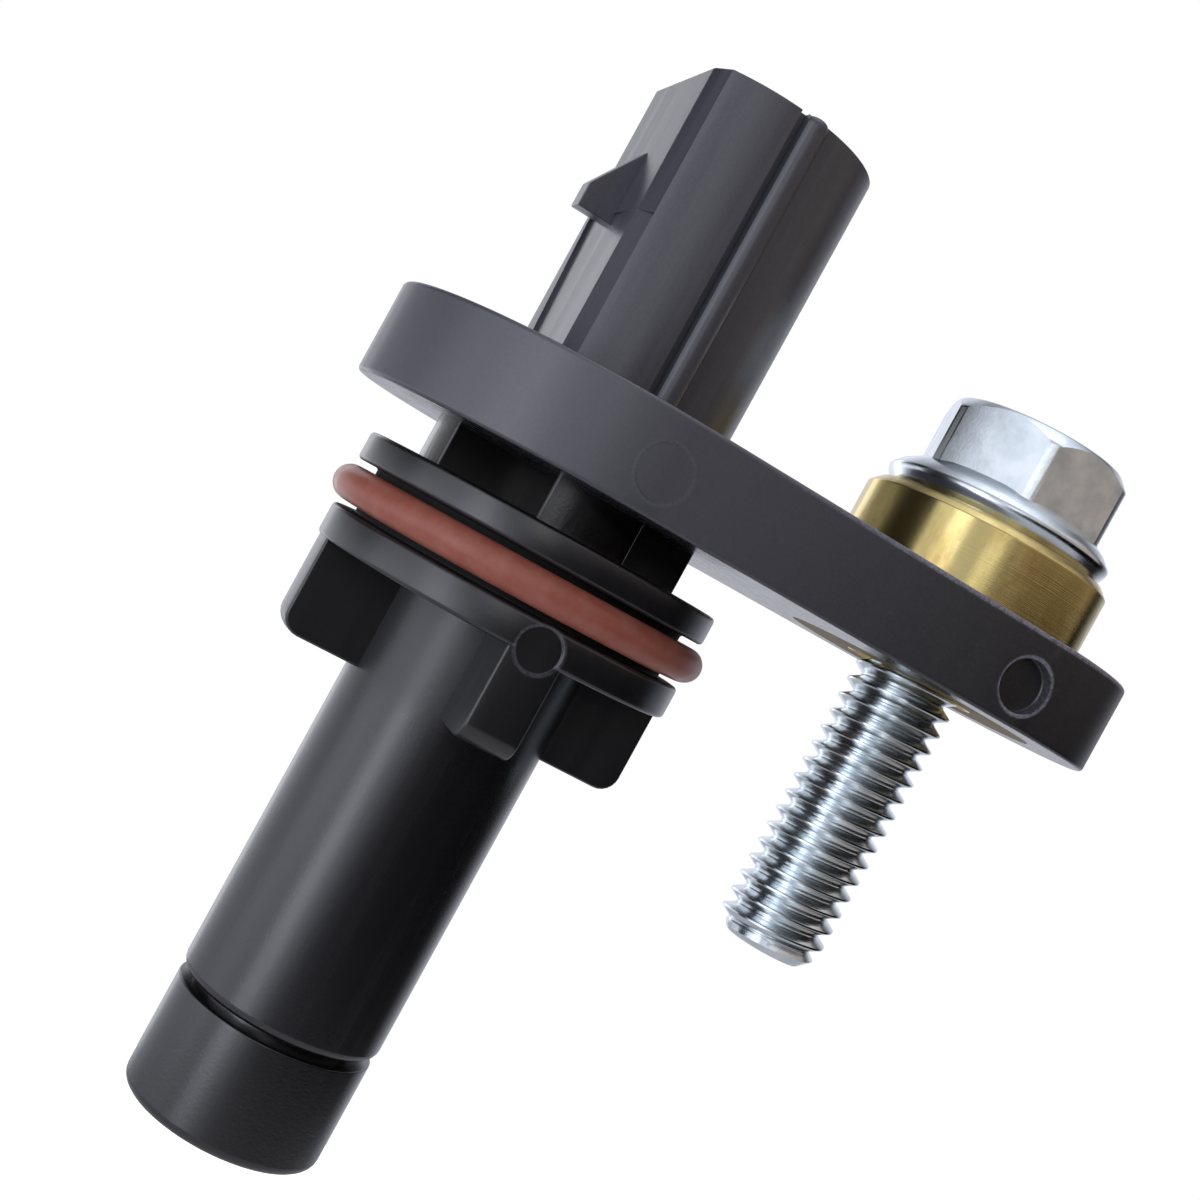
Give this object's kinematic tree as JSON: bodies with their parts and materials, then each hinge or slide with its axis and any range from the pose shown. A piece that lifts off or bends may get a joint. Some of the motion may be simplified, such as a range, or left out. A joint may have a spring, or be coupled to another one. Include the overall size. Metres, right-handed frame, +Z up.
{
  "type": "crankshaft position sensor",
  "caption": "Moulded engine speed sensor: slim barrel with a ring-sealed spigot, side flange with a brass bush and hexagon bolt, and a round socket with a latch flat.",
  "frame": {"origin": "on the barrel axis at the flange's underside, the face that seats on the engine block", "axes": "+Z up along the barrel axis towards the connector's mouth, +X from the barrel to the bolt"},
  "size_m": [0.0441, 0.0238, 0.0568],
  "materials": {
    "housing_nylon": "moulded, fine matt grain",
    "cup_nylon": "moulded, fine matt grain",
    "ring_rubber": "moulded, reddish brown",
    "brass": "turned",
    "zinc_steel": "zinc plated, pale blue",
    "tinned_bronze": "tin plated",
    "carrier_nylon": "moulded",
    "capacitor_body": "fired",
    "chip_resin": "moulded resin",
    "leg_copper": "tin plated",
    "magnet": "sintered",
    "soft_iron": "stamped"
  },
  "bodies": {
    "root": {"housing": "housing_nylon", "nose_cup": "cup_nylon", "sealing_ring": "ring_rubber", "compression_limiter": "brass", "flange_bolt": "zinc_steel", "terminal_1": "tinned_bronze", "terminal_2": "tinned_bronze", "terminal_3": "tinned_bronze", "lead_carrier": "carrier_nylon", "capacitor_1": "capacitor_body", "capacitor_2": "capacitor_body", "element_holder": "carrier_nylon", "hall_element": "chip_resin", "element_leg_1": "leg_copper", "element_leg_2": "leg_copper", "element_leg_3": "leg_copper", "bias_magnet": "magnet", "pole_plate": "soft_iron"}
  },
  "joints": []
}
